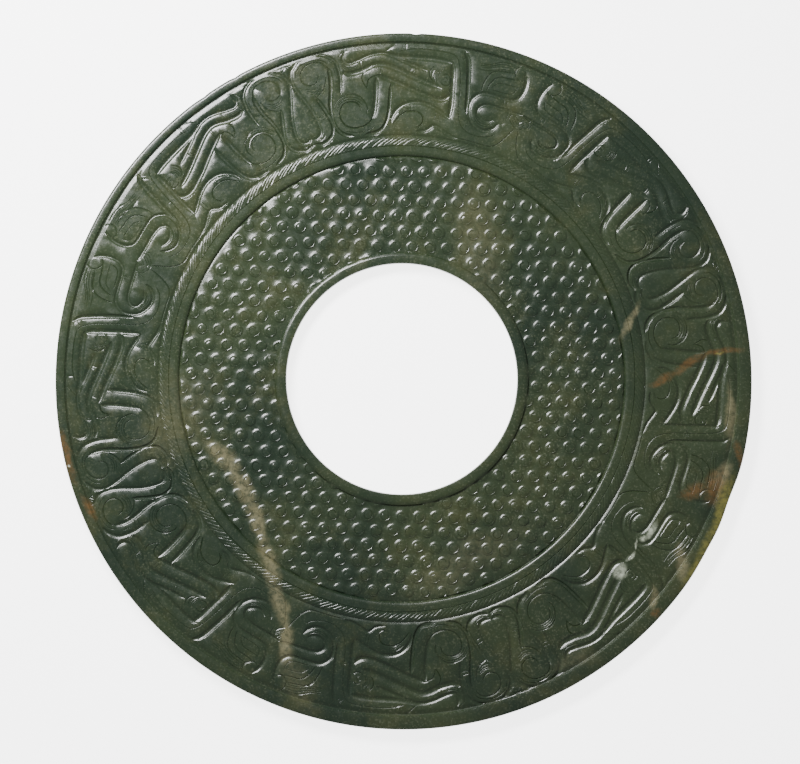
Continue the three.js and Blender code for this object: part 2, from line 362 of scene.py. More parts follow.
class NeckHalf(Motif):
    """The neck that drops to the rope ring and rolls up into the low volute."""

    def __init__(self) -> None:
        """Draws the neck and its volute."""
        super().__init__("neck")
        self.add(Cut.TROUGH, (44.3, 16.8), (44.8, 13), (45.3, 9.5), (45.9, 6.5), (46.9, 4.0), (48.5, 2.0),
                 (51, 1.0), (55, 0.8), width=0.85)
        self.add(Cut.TROUGH, (49.0, 19.2), (49.5, 14.5), (50.1, 11), (50.8, 8), (51.6, 6), width=0.9)
        self.add(Cut.GROOVE, (50.9, 8.2), (51.6, 6), (53, 4.7), (55, 3.9), (57, 3.7), (59, 4.0), (61, 5.0),
                 (62.3, 6.8), (62.6, 8.8), (62, 10.8), (60.6, 12.2), (58.5, 12.6), (56.5, 12.1),
                 (55.3, 10.7), (55, 9))
        self.add(Cut.LINE, (51.5, 2.9), (54, 2.1), (57, 1.9), (60, 2.6), (62, 3.4))
        self.add(Cut.GROOVE, (53.6, 7.7), (53.0, 9.6), (53.6, 11.8), (55.0, 13.6), (57.0, 14.8), (59.3, 15.0))
        self.arcs(Cut.HAIR, (58.6, 8.4), (5.0, 5.7, 6.4), 150, 25)


class LoopHalf(Motif):
    """The tall loop with the high volute, and the tail that runs on into the next unit."""

    def __init__(self) -> None:
        """Draws the loop and its tail."""
        super().__init__("loop")
        self.add(Cut.CHANNEL, (60.6, 15.2), (60.2, 18), (59.9, 21), (60.1, 24), (60.6, 26.3), (61.7, 27.9),
                 (63.3, 29.2), (65, 29.9), width=0.9)
        self.add(Cut.TROUGH, (63.6, 25.2), (63.2, 23), (63.4, 20), (64, 17), (64.9, 14), (65.4, 11),
                 (65.6, 8), (65.2, 5.5), (64, 3.4), (62, 1.9), (59, 1.0), width=0.75)
        self.add(Cut.GROOVE, (63.6, 24.8), (64.8, 27.0), (67, 27.8), (69.4, 27.4), (71.1, 25.9),
                 (71.8, 23.8), (71.3, 21.8), (69.9, 20.7), (68.2, 20.6), (67, 21.6), (66.5, 23.2))
        self.add(Cut.GROOVE, (64.6, 22), (65.0, 19.8), (66.3, 17.8), (68.5, 16.5), (69.3, 16.5))
        self.fan(Cut.HAIR, [(66.0, 20.5), (67.6, 19.3), (69.6, 19.2), (71.4, 20.2)], (0.05, -0.7), 3)
        self.add(Cut.LINE, (63, 26.3), (64.5, 28), (67, 28.9), (70, 28.6), (72.3, 27), (73.3, 25))
        self.add(Cut.CHANNEL, (70.8, 29.7), (72.5, 28.6), (74, 27), (74.7, 25), (74.8, 23), (74.2, 20.5),
                 (73.4, 18), (72.5, 15.5), (71.6, 12.8), (71, 10.5), (70.6, 8), (70.5, 6), (71, 4.6),
                 (72.2, 3.7), (73.8, 3.5), (75, 4), width=0.9)
        self.add(Cut.TROUGH, (69.4, 16.6), (68.6, 14.3), (67.7, 12.0), (67.0, 9.8), (66.3, 7.6), (66.3, 5.2),
                 (67.3, 3.1), (69.4, 1.8), (72.2, 1.2), (75, 2.0), width=0.75)
        self.add(Cut.HAIR, (67.0, 10.6), (70.2, 9.9))
        self.add(Cut.HAIR, (66.8, 9.3), (69.8, 8.7))
        self.add(Cut.HAIR, (60.7, 19.6), (62.8, 19.3))
        self.add(Cut.HAIR, (60.6, 18.4), (62.8, 18.1))
        self.add(Cut.HAIR, (61.6, 24.5), (61.3, 21))
        self.fan(Cut.HAIR, [(69.6, 3.2), (71.2, 2.2), (73.2, 2.0), (75.0, 2.9)], (0.1, 0.55), 3)
        self.hatch(Cut.HAIR, [(71.2, 29.8), (73.4, 28.3), (75.1, 26.0), (75.1, 29.8)], 0.8, 50)


class Board:
    """A flat layout of points and lines that is triangulated in one go.

    A point that falls in the same small cell as an earlier one is that point, so that crowded marks don't
    leave slivers.
    """

    CELL = 0.07
    TOUCHING = 1e-5  # distance at which the triangulation takes two points as one

    def __init__(self) -> None:
        """Starts an empty board."""
        self.points: list[Point] = []
        self.lines: list[tuple[int, int]] = []
        self.cells: dict[tuple[int, int], int] = {}

    def dot(self, x: float, y: float) -> int:
        """Puts down a point, or finds the one that is already there, and returns its index."""
        cell = (round(x / self.CELL), round(y / self.CELL))
        if cell not in self.cells:
            self.cells[cell] = len(self.points)
            self.points.append((float(x), float(y)))
        return self.cells[cell]

    def chain(self, places: Sequence[Point], closed: bool = False) -> None:
        """Puts down a line through places.

        Args:
            places: the line's points in order.
            closed: whether the last point joins the first.
        """
        spots = [self.dot(x, y) for x, y in places]
        if closed:
            spots.append(spots[0])
        self.lines += [(a, b) for a, b in zip(spots, spots[1:]) if a != b]

    def fill(self, places: np.ndarray, clear: float) -> None:
        """Puts points down where nothing else is near.

        Args:
            places: places to try.
            clear: how far the nearest point on the board has to be.
        """
        tree = KDTree(len(self.points))
        for k, (x, y) in enumerate(self.points):
            tree.insert((x, y, 0), k)
        tree.balance()
        for x, y in places:
            if tree.find((x, y, 0))[2] > clear:
                self.dot(x, y)

    def triangulate(self) -> tuple[np.ndarray, np.ndarray]:
        """Joins all points by triangles that keep to the lines.

        Returns:
            The points, and the three corners of each triangle.
        """
        made = delaunay_2d_cdt([Vector(p) for p in self.points], self.lines, [], 0, self.TOUCHING, False)
        return np.array([tuple(v) for v in made[0]]), np.array(made[2])


@dataclass
class CutStroke:
    """A stroke where it lies in the finished band, with how wide and deep it is all along."""

    path: np.ndarray
    half: np.ndarray
    depth: np.ndarray
    section: tuple[Point, ...]

    def rows(self, keep: Callable[[np.ndarray], np.ndarray]) -> list[list[Point]]:
        """Lines of points along the stroke: its lips, its walls and its bottom.

        Args:
            keep: says which places lie on the sheet.

        Returns:
            The lines, cut where they leave the sheet.
        """
        ahead = np.gradient(self.path, axis=0)
        ahead /= np.linalg.norm(ahead, axis=1)[:, None] + 1e-9
        aside = np.stack([-ahead[:, 1], ahead[:, 0]], 1)
        shares = sorted({side * share for share, _ in self.section for side in (-1, 1)})
        rows = []
        for share in shares:
            row = self.path + aside * (share * self.half)[:, None]
            if share == 0:
                row = np.vstack([row[0] - ahead[0] * self.half[0], row, row[-1] + ahead[-1] * self.half[-1]])
            inside = keep(row)
            run: list[Point] = []
            for spot, fits in zip(row, inside):
                if fits:
                    run.append(tuple(spot))
                elif run:
                    rows.append(run)
                    run = []
            if run:
                rows.append(run)
        return rows

    def cut(self, places: np.ndarray) -> np.ndarray:
        """How deep the stroke is at each place."""
        start, step = self.path[:-1], np.diff(self.path, axis=0)
        away = places[:, None] - start[None]
        share = np.clip((away * step).sum(2) / ((step ** 2).sum(1) + 1e-12), 0, 1)
        far = np.linalg.norm(away - share[..., None] * step, axis=2)
        half = self.half[:-1] + share * np.diff(self.half)
        ratio = far / half
        nearest = ratio.argmin(1)
        index = np.arange(len(places))
        depth = self.depth[:-1][nearest] + share[index, nearest] * np.diff(self.depth)[nearest]
        shares, levels = zip(*self.section)
        return depth * np.interp(ratio[index, nearest], shares, levels)


@dataclass
class Knotwork:
    """The band of four mask units, each a pair of mirrored halves cut by hand and so a little uneven."""

    seed: int = 11
    wander: float = 0.13  # how far a stroke strays from its drawing
    drift_along: float = 0.35  # how far the drawing as a whole drifts along the band
    drift_out: float = 0.25  # and across it
    motifs: list[Motif] = field(default_factory=lambda: [
        MaskHalf(), BarHalf(), StrandHalf(), LimbHalf(), NeckHalf(), LoopHalf()])

    def __post_init__(self) -> None:
        """Draws the hand's unevenness."""
        for motif in self.motifs:
            LOG.info("%s: %d strokes in a half unit", motif.name, len(motif.strokes))
        self.draw = np.random.default_rng(self.seed)
        self.drift_s = Waves(self.seed + 1, 25, 90)
        self.drift_t = Waves(self.seed + 2, 25, 90)

    def strokes(self) -> list[CutStroke]:
        """Every stroke of every half unit: along the band from angle 0, and outwards from the band's edge."""
        made = []
        for k, axis in enumerate(MASK_ANGLES):
            for side in (1, -1):
                beside = MASK_ANGLES[(k + side) % len(MASK_ANGLES)]
                gap = (side * (beside - axis)) % 360 / 2
                stretch = math.radians(gap) * MID_RADIUS / HALF_LENGTH
                for motif in self.motifs:
                    made += [self.stroke(stroke, axis, side, stretch) for stroke in motif.strokes]
        return made

    def stroke(self, stroke: Stroke, axis: float, side: int, stretch: float) -> CutStroke:
        """Lays one stroke in one half unit.

        Args:
            stroke: the stroke as it is drawn.
            axis: angle of the mask's axis.
            side: 1 towards larger angles, -1 towards smaller ones.
            stretch: how much longer this half is than the drawn one.

        Returns:
            The stroke in its place.
        """
        path = spaced(smooth_path(stroke.path, 0.2), 1.5, 15)
        s = math.radians(axis) * MID_RADIUS + side * path[:, 0] * stretch
        t = path[:, 1]
        turn, radius = s / MID_RADIUS, BAND_INNER + t
        x, y = radius * np.cos(turn), radius * np.sin(turn)
        stray = self.draw.normal(0, self.wander, 2)
        calm = smoothstep(0, 1.5, path[:, 0]) * (1 - smoothstep(HALF_LENGTH - 1.5, HALF_LENGTH, path[:, 0]))
        s = s + (self.drift_along * self.drift_s.at(x, y) + stray[0]) * calm
        t = np.clip(t + self.drift_out * self.drift_t.at(x, y) * calm + stray[1] * 0.6, 0.9, 30.0)
        path = np.stack([s, t], 1)
        run = np.concatenate([[0], np.cumsum(np.linalg.norm(np.diff(path, axis=0), axis=1))])
        ends = np.minimum(run, run[-1] - run) / min(stroke.cut.taper, run[-1] / 2 + 1e-6)
        swell = 0.35 + 0.65 * np.sqrt(np.clip(ends, 0, 1))
        half = stroke.cut.width * stroke.width / 2 * (1 + self.draw.normal(0, 0.06))
        depth = stroke.cut.depth * (1 + self.draw.normal(0, 0.08))
        return CutStroke(path, half * swell, depth * swell, stroke.cut.section)


@dataclass
class RopeRing:
    """A low ring of slanting strands, marked off by fine cuts, between two grooves."""

    strands: int = 296
    inner: float = 77.25
    outer: float = 80.2
    slant: float = -1.08  # degrees that a strand turns for each millimetre outwards
    width: float = 0.36
    depth: float = 0.09
    seed: int = 3

    def strokes(self) -> list[CutStroke]:
        """The cuts between the strands, laid out as the knotwork's are."""
        draw = np.random.default_rng(self.seed)
        made = []
        for k in range(self.strands):
            radii = np.linspace(self.inner + draw.uniform(0, 0.25), self.outer - draw.uniform(0, 0.3), 3)
            turn = 360 * (k + draw.normal(0, 0.07)) / self.strands + self.slant * (radii - self.inner)
            path = np.stack([np.radians(turn % 360 if turn.min() > 0 else turn) * MID_RADIUS,
                             radii - BAND_INNER], 1)
            half = self.width / 2 * np.array([0.8, 1, 0.8]) * (1 + draw.normal(0, 0.1))
            depth = self.depth * np.array([0.6, 1, 0.6]) * (1 + draw.normal(0, 0.15))
            made.append(CutStroke(path, half, depth, Cut.LINE.section))
        return made


@dataclass
class GrainField:
    """Rows of grain bosses on a six-sided lattice: low round knobs, each with a comma groove."""

    pitch: float = 5.716
    turn: float = -2.2
    start: Point = (1.35, 4.9)
    knob_radius: float = 2.3
    knob_height: float = 0.38
    # shares of the knob's radius with the share of its height there
    knob_profile: tuple[Point, ...] = ((0.0, 1.0), (0.76, 0.72), (0.89, 0.36), (1.0, 0.0))
    comma: Point = (0.9, 2.0)  # radii at which the comma groove starts and ends
    comma_turn: float = 50.0  # direction in which most of the grooves end
    comma_spread: float = 0.9  # how far that direction varies, in radians
    groove_half: float = 0.2
    groove_depth: float = 0.14
    inner: float = 41.9
    outer: float = 73.2
    drift: float = 0.12  # how far the lattice as a whole wanders
    jitter: float = 0.09  # how far a boss sits from its place in the lattice
    seed: int = 5

    def __post_init__(self) -> None:
        """Finds where each boss sits and how it differs from the next."""
        turn = math.radians(self.turn)
        steps = np.arange(-30, 31)
        i, j = (grid.ravel() for grid in np.meshgrid(steps, steps))
        x = self.start[0] + self.pitch * (i * math.cos(turn) + j * math.cos(turn + math.pi / 3))
        y = self.start[1] + self.pitch * (i * math.sin(turn) + j * math.sin(turn + math.pi / 3))
        draw = np.random.default_rng(self.seed)
        x = x - self.drift * Waves(self.seed, 30, 90).at(x, y) + draw.normal(0, self.jitter, x.shape)
        y = y - self.drift * Waves(self.seed + 1, 30, 90).at(x, y) + draw.normal(0, self.jitter, x.shape)
        radius = np.hypot(x - CARVING_CENTRE[0], y - CARVING_CENTRE[1])
        reach = self.knob_radius
        near = (radius > self.inner - reach * 0.5) & (radius < self.outer + reach * 0.5)
        self.centres = np.stack([x, y], 1)[near]
        count = len(self.centres)
        self.size = self.knob_radius * (1 + draw.normal(0, 0.05, count))
        self.height = self.knob_height * (1 + draw.normal(0, 0.08, count))
        self.curl = -math.radians(self.comma_turn) + draw.normal(0, self.comma_spread, count)
        self.sunk = self.groove_depth * (1 + draw.normal(0, 0.15, count))

    def curled(self, which: np.ndarray, turn: np.ndarray) -> np.ndarray:
        """How far along its comma groove, from 0 to 1, a boss is in a direction given in radians."""
        return ((turn + self.curl[which]) / (2 * math.pi)) % 1

    def draw_on(self, board: Board) -> None:
        """Lays the rings of points of every boss, and the lines of its groove, on the field's board."""
        along = np.linspace(0.03, 0.97, 11)
        for k, (x, y) in enumerate(self.centres):
            lines = []
            for (share, _), count in zip(self.knob_profile[1:], (9, 12, 12)):
                turn = np.arange(count + 1) * 2 * math.pi / count
                lines.append((turn, np.full(count + 1, share * self.size[k])))
            for side in (-1, 0, 1):
                lines.append((along * 2 * math.pi - self.curl[k],
                              self.comma[0] + (self.comma[1] - self.comma[0]) * along
                              + side * self.groove_half))
            if self.inside(x, y):
                board.dot(x, y)
            for turn, far in lines:
                spots = [(x + r * math.cos(a), y + r * math.sin(a)) for a, r in zip(turn, far)]
                for first, second in zip(spots, spots[1:]):
                    if self.inside(*first) and self.inside(*second):
                        board.chain((first, second))

    def inside(self, x: float, y: float, margin: float = 0.12) -> bool:
        """Whether a place lies in the field, clear of its two walls."""
        radius = math.hypot(x - CARVING_CENTRE[0], y - CARVING_CENTRE[1])
        return self.inner + margin < radius < self.outer - margin

    def relief(self, places: np.ndarray) -> np.ndarray:
        """Height of the bosses over the ground at each place."""
        made = np.zeros(len(places))
        for start in range(0, len(places), 4000):
            part = places[start:start + 4000]
            away = part[:, None] - self.centres[None]
            nearest = (away ** 2).sum(2).argmin(1)
            away = away[np.arange(len(part)), nearest]
            far = np.hypot(away[:, 0], away[:, 1])
            knob = self.height[nearest] * np.interp(far / self.size[nearest], *zip(*self.knob_profile))
            curled = self.curled(nearest, np.arctan2(away[:, 1], away[:, 0]))
            ring = self.comma[0] + (self.comma[1] - self.comma[0]) * curled
            ends = smoothstep(0, 0.12, curled) * (1 - smoothstep(0.85, 1, curled))
            groove = self.sunk[nearest] * ends * np.clip(1 - np.abs(far - ring) / self.groove_half, 0, None)
            made[start:start + 4000] = knob - groove
        return made


def spaced(path: np.ndarray, longest: float, bend: float) -> np.ndarray:
    """Thins a finely walked path, and keeps more of it where it bends.

    Args:
        path: places along a smooth curve.
        longest: longest step to leave.
        bend: most degrees that one step may turn.

    Returns:
        The places that are left.
    """
    step = np.diff(path, axis=0)
    heading = np.unwrap(np.arctan2(step[:, 1], step[:, 0]))
    kept, last, run = [0], heading[0], 0.0
    for k in range(1, len(path) - 1):
        run += float(np.linalg.norm(step[k - 1]))
        if run > longest or (abs(heading[k] - last) > math.radians(bend) and run > 0.3):
            kept.append(k)
            last, run = heading[k], 0.0
    return path[kept + [len(path) - 1]]


def ring_of(radius: float, count: int) -> np.ndarray:
    """Places round the carving's centre, one of them straight along +X."""
    turn = np.arange(count) * 2 * math.pi / count
    return np.stack([radius * np.cos(turn), radius * np.sin(turn)], 1) + CARVING_CENTRE


def lattice(width: float, height: float, step: float) -> np.ndarray:
    """A six-sided lattice of places that covers a rectangle from the origin."""
    rows = np.arange(step / 2, height, step * 0.87)
    return np.array([(x, y) for k, y in enumerate(rows)
                     for x in np.arange(step / 2 * (1 + k % 2), width, step)])


@dataclass
class Sheet:
    """One ring of the skin: a profile of radius and height, swept round."""

    name: str
    profile: tuple[tuple[float, float, int], ...]  # radius, height, and the steps that lead to it
    columns: int = SEAM_POINTS

    def rows(self) -> np.ndarray:
        """Radius and height of each row of points, from the first to the last seam."""
        walked = [self.profile[0][:2]]
        for (r0, z0, _), (r1, z1, steps) in zip(self.profile, self.profile[1:]):
            walked += [(r0 + (r1 - r0) * k / steps, z0 + (z1 - z0) * k / steps) for k in range(1, steps + 1)]
        return np.array(walked)

    def base(self, radius: np.ndarray) -> np.ndarray:
        """Height of the profile at each radius, on a ring that doesn't turn back."""
        return np.interp(radius, [p[0] for p in self.profile], [p[1] for p in self.profile])

    def add_to(self, bm: bmesh.types.BMesh, mm: float) -> None:
        """Sweeps the ring into the skin.

        Args:
            bm: the skin.
            mm: metres in a millimetre of the disc.
        """
        rows = self.rows()
        made = bmesh.ops.create_grid(bm, x_segments=self.columns, y_segments=len(rows) - 1, size=1)
        for vert in made["verts"]:
            column = round((vert.co.x + 1) / 2 * self.columns) % self.columns
            row = round((vert.co.y + 1) / 2 * (len(rows) - 1))
            x, y = place(np.array([column * 2 * math.pi / self.columns]), rows[row, :1])
            vert.co = (x[0] * mm, y[0] * mm, rows[row, 1] * mm)


@dataclass
class CarvedSheet(Sheet):
    """A ring whose points follow its carving."""

    def add_points(self, bm: bmesh.types.BMesh, places: np.ndarray, corners: np.ndarray,
                   heights: np.ndarray, mm: float) -> None:
        """Adds the triangulated ring to the skin.

        Args:
            bm: the skin.
            places: places across and up.
            corners: corners of each triangle.
            heights: height of each place.
            mm: metres in a millimetre of the disc.
        """
        mesh = bpy.data.meshes.new(self.name)
        mesh.from_pydata((np.column_stack([places, heights]) * mm).tolist(), [], corners.tolist())
        bm.from_mesh(mesh)
        bpy.data.meshes.remove(mesh)
        LOG.info("%s: %d triangles", self.name, len(corners))


@dataclass
class GrainSheet(CarvedSheet):
    """The ring of grain bosses with its two walls and the plain ring outside it."""

    grain: GrainField = field(default_factory=GrainField)
    unevenness: float = 0.025  # height of the waves that grinding left

    def add_to(self, bm: bmesh.types.BMesh, mm: float) -> None:
        """Lays out, triangulates and raises the field."""
        board = Board()
        for radius, _ in self.rows():
            board.chain(ring_of(radius, self.columns), closed=True)
        self.grain.draw_on(board)
        places, corners = board.triangulate()
        radius = np.linalg.norm(places - CARVING_CENTRE, axis=1)
        corners = corners[radius[corners].max(1) > self.profile[0][0] + 0.01]
        inside = smoothstep(41.6, 42.0, radius) * (1 - smoothstep(72.9, 73.3, radius))
        free = ((radius > self.profile[0][0] + 0.01) & (radius < self.profile[-1][0] - 0.01)).astype(float)
        rough = self.unevenness * Waves(21, 6, 45).at(places[:, 0], places[:, 1])
        heights = self.base(radius) + self.grain.relief(places) * inside + rough * free
        self.add_points(bm, places, corners, heights, mm)


@dataclass
class BandSheet(CarvedSheet):
    """The ring of knotwork with the rope ring along its inner edge, laid out flat and then bent round."""

    cut_angle: float = 20.0  # where the flat strip starts and ends
    fill_step: float = 2.6  # distance between the points that fill the plain ground
    fill_clear: float = 0.9  # how far those points stay from the carving
    unevenness: float = 0.035  # height of the waves that grinding left

    def add_to(self, bm: bmesh.types.BMesh, mm: float) -> None:
        """Lays out, triangulates, cuts and bends the band."""
        length = 2 * math.pi * MID_RADIUS
        first = math.radians(self.cut_angle) * MID_RADIUS
        low, high = self.profile[0][0] - BAND_INNER, self.profile[-1][0] - BAND_INNER
        board = Board()
        for radius, _ in self.rows():
            board.chain([(first + length * k / self.columns, radius - BAND_INNER)
                         for k in range(self.columns + 1)])
        levels = np.linspace(low, high, 90)
        for side in (first, first + length):
            board.chain([(side, level) for level in levels])
        strokes = self.wrapped(Knotwork().strokes() + RopeRing().strokes(), first, length)

        def keep(row: np.ndarray) -> np.ndarray:
            """Places on the strip, clear of its edges."""
            return ((row[:, 0] > first + 0.1) & (row[:, 0] < first + length - 0.1)
                    & (row[:, 1] > low + 0.1) & (row[:, 1] < high - 0.1))

        for stroke in strokes:
            for row in stroke.rows(keep):
                board.chain(row)
        board.fill(lattice(length, high, self.fill_step) + (first, 0), self.fill_clear)
        places, corners = board.triangulate()
        depths = self.depths(places, strokes)
        radius, angle = places[:, 1] + BAND_INNER, places[:, 0] / MID_RADIUS
        spots = np.stack([radius * np.cos(angle), radius * np.sin(angle)], 1)
        free = ((places[:, 1] > low + 0.01) & (places[:, 1] < high - 0.01)).astype(float)
        rough = self.unevenness * Waves(22, 6, 45).at(spots[:, 0], spots[:, 1])
        heights = self.base(radius) - (depths - rough) * free
        self.add_points(bm, spots + CARVING_CENTRE, corners, heights, mm)

    def wrapped(self, strokes: list[CutStroke], first: float, length: float) -> list[CutStroke]:
        """Repeats the strokes that cross the strip's two ends, so that each end has all of its marks."""
        made = []
        for stroke in strokes:
            turns = math.floor((stroke.path[:, 0].min() - first) / length)
            path = stroke.path - (turns * length, 0)
            for shift in (0, length):
                shifted = path - (shift, 0)
                if shifted[:, 0].max() > first - 2 and shifted[:, 0].min() < first + length + 2:
                    made.append(CutStroke(shifted, stroke.half, stroke.depth, stroke.section))
        return made

    def depths(self, places: np.ndarray, strokes: list[CutStroke]) -> np.ndarray:
        """How deep the band is cut at each place, by the deepest of the strokes that cross it."""
        order = np.argsort(places[:, 0])
        along = places[order, 0]
        made = np.zeros(len(places))
        for stroke in strokes:
            reach = stroke.half.max() + 0.1
            low, high = stroke.path.min(0) - reach, stroke.path.max(0) + reach
            some = order[np.searchsorted(along, low[0]):np.searchsorted(along, high[0])]
            some = some[(places[some, 1] > low[1]) & (places[some, 1] < high[1])]
            if len(some):
                made[some] = np.maximum(made[some], stroke.cut(places[some]))
        return made


def place(angle: np.ndarray, radius: np.ndarray) -> tuple[np.ndarray, np.ndarray]:
    """Turns an angle and a radius into a place: the carving is a little off the outline's middle.

    Args:
        angle: angles in radians.
        radius: radii.

    Returns:
        The places across and up.
    """
    drift = 1 - smoothstep(111.4, 114.0, radius)
    turn = np.degrees(angle)
    wear = np.zeros_like(angle)
    for middle, spread, depth in EDGE_WEAR:
        wear += depth * np.exp(-(((turn - middle + 180) % 360 - 180) / spread) ** 2)
    radius = radius - wear * smoothstep(111.0, 115.0, radius)
    return (CARVING_CENTRE[0] * drift + radius * np.cos(angle),
            CARVING_CENTRE[1] * drift + radius * np.sin(angle))


@dataclass
class CarvedDisc:
    """The whole stone, in one closed skin."""

    mm: float  # metres in a millimetre of the disc
    thickness: float = 5.5
    crease: float = 29.0  # degrees past which an edge of the mesh stays sharp
    merge: float = 2e-6  # metres within which points on a seam are one

    def sheets(self) -> list[Sheet]:
        """The rings of the skin, from the hole over the front, round the edge and across the back."""
        top = self.thickness
        return [
            Sheet("hole and inner rim", (
                (38.1, 0.6, 0), (38.1, top - 0.7, 2), (38.2, top - 0.28, 1), (38.42, top - 0.06, 1),
                (38.75, top, 1), (39.7, top, 1), (40.6, top, 1))),
            GrainSheet("grain field", (
                (40.6, top, 0), (41.0, top - 0.1, 1), (41.6, top - 0.4, 1), (41.9, top - 0.9, 1),
                (42.1, top - 1.05, 1), (73.0, top - 1.05, 1), (73.5, top - 1.25, 1), (73.9, top - 0.6, 1),
                (74.4, top - 0.3, 1), (75.3, top - 0.25, 1), (76.8, top - 0.25, 1))),
            BandSheet("rope ring and knotwork", (
                (76.8, top - 0.25, 0), (77.0, top - 0.42, 1), (77.2, top - 0.25, 1), (78.4, top - 0.18, 1),
                (79.4, top - 0.25, 1), (80.2, top - 0.6, 1), (80.45, top - 0.78, 1), (80.8, top - 0.62, 1),
                (81.4, top - 0.42, 1), (109.2, top - 0.42, 1), (109.8, top - 0.5, 1), (110.5, top - 0.78, 1),
                (110.8, top - 0.8, 1))),
            Sheet("outer rim and edge", (
                (110.8, top - 0.8, 0), (111.1, top - 0.6, 1), (111.5, top - 0.1, 1), (111.9, top, 1),
                (113.0, top, 1), (114.0, top, 1), (114.5, top - 0.08, 1), (114.85, top - 0.3, 1),
                (115.0, top - 0.7, 1), (115.0, 0.7, 2), (114.85, 0.3, 1), (114.5, 0.06, 1),
                (114.1, 0.0, 1))),
            Sheet("back", (
                (114.1, 0.0, 0), (112.0, 0.0, 1), (111.3, 0.0, 1), (110.7, 0.4, 1), (96, 0.4, 2),
                (81.2, 0.4, 2), (80.8, 0.55, 1), (80.4, 0.4, 1), (78.9, 0.35, 1), (77.4, 0.4, 1),
                (77.1, 0.55, 1), (76.8, 0.4, 1), (60, 0.4, 2), (42.0, 0.4, 2), (41.4, 0.0, 1),
                (38.75, 0.0, 1), (38.42, 0.06, 1), (38.2, 0.28, 1), (38.1, 0.6, 1))),
        ]

    def build(self) -> bpy.types.Object:
        """Joins the rings into one closed mesh.

        Returns:
            The disc's object, at the origin.
        """
        bm = bmesh.new()
        for sheet in self.sheets():
            sheet.add_to(bm, self.mm)
        bmesh.ops.remove_doubles(bm, verts=bm.verts, dist=self.merge)
        bmesh.ops.triangulate(bm, faces=bm.faces)
        open_edges = sum(1 for edge in bm.edges if not edge.is_manifold)
        bmesh.ops.recalc_face_normals(bm, faces=bm.faces)
        for face in bm.faces:
            face.smooth = True
        mesh = bpy.data.meshes.new("carved_disc")
        bm.to_mesh(mesh)
        bm.free()
        mesh.set_sharp_from_angle(angle=math.radians(self.crease))
        LOG.info("carved disc: %d triangles, %d open edges", len(mesh.polygons), open_edges)
        disc = bpy.data.objects.new("carved_disc", mesh)
        bpy.context.scene.collection.objects.link(disc)
        return disc


class Graph:
    """A short hand for laying out a material's nodes."""

    def __init__(self, name: str) -> None:
        """Starts a material that has only its shader and output."""
        self.material = bpy.data.materials.new(name)
        self.material.use_nodes = True
        self.nodes = self.material.node_tree.nodes
        self.links = self.material.node_tree.links
        self.shader = self.nodes["Principled BSDF"]
        self.place = self.nodes.new("ShaderNodeTexCoord").outputs["Object"]

    def set(self, socket: bpy.types.NodeSocket, value: object) -> None:
        """Links a socket to another node's output, or sets it to a plain value."""
        if isinstance(value, bpy.types.NodeSocket):
            self.links.new(value, socket)
        else:
            socket.default_value = value

    def noise(self, scale: float, detail: float = 4, rough: float = 0.55, where: object = None) -> object:
        """Noise of a given scale, in lumps to the metre."""
        node = self.nodes.new("ShaderNodeTexNoise")
        self.links.new(where or self.place, node.inputs["Vector"])
        node.inputs["Scale"].default_value = scale
        node.inputs["Detail"].default_value = detail
        node.inputs["Roughness"].default_value = rough
        return node.outputs["Fac"]

    def math(self, operation: str, first: object, second: object = 0.0) -> object:
        """One arithmetic step."""
        node = self.nodes.new("ShaderNodeMath")
        node.operation = operation
        self.set(node.inputs[0], first)
        self.set(node.inputs[1], second)
        return node.outputs[0]

    def ramp(self, value: object, low: float, high: float, start: float = 0.0, end: float = 1.0) -> object:
        """Eases a value from start at low to end at high."""
        node = self.nodes.new("ShaderNodeMapRange")
        node.interpolation_type = "SMOOTHSTEP"
        self.set(node.inputs["Value"], value)
        for socket, number in zip(("From Min", "From Max", "To Min", "To Max"), (low, high, start, end)):
            node.inputs[socket].default_value = number
        return node.outputs["Result"]

    def mix(self, share: object, first: object, second: object) -> object:
        """Mixes two colours."""
        node = self.nodes.new("ShaderNodeMix")
        node.data_type = "RGBA"
        self.set(node.inputs["Factor"], share)
        self.set(node.inputs["A"], first)
        self.set(node.inputs["B"], second)
        return node.outputs["Result"]

    def bump(self, height: object, distance: float, strength: float, normal: object = None) -> object:
        """Roughens the surface by a height pattern."""
        node = self.nodes.new("ShaderNodeBump")
        node.inputs["Strength"].default_value = strength
        node.inputs["Distance"].default_value = distance
        self.set(node.inputs["Height"], height)
        if normal is not None:
            self.set(node.inputs["Normal"], normal)
        return node.outputs["Normal"]


@dataclass(frozen=True)
class Patch:
    """A soft-edged oval of tint on the stone."""

    centre: Point
    length: float  # half of its long way
    width: float  # half of its short way
    turn: float  # direction of its long way


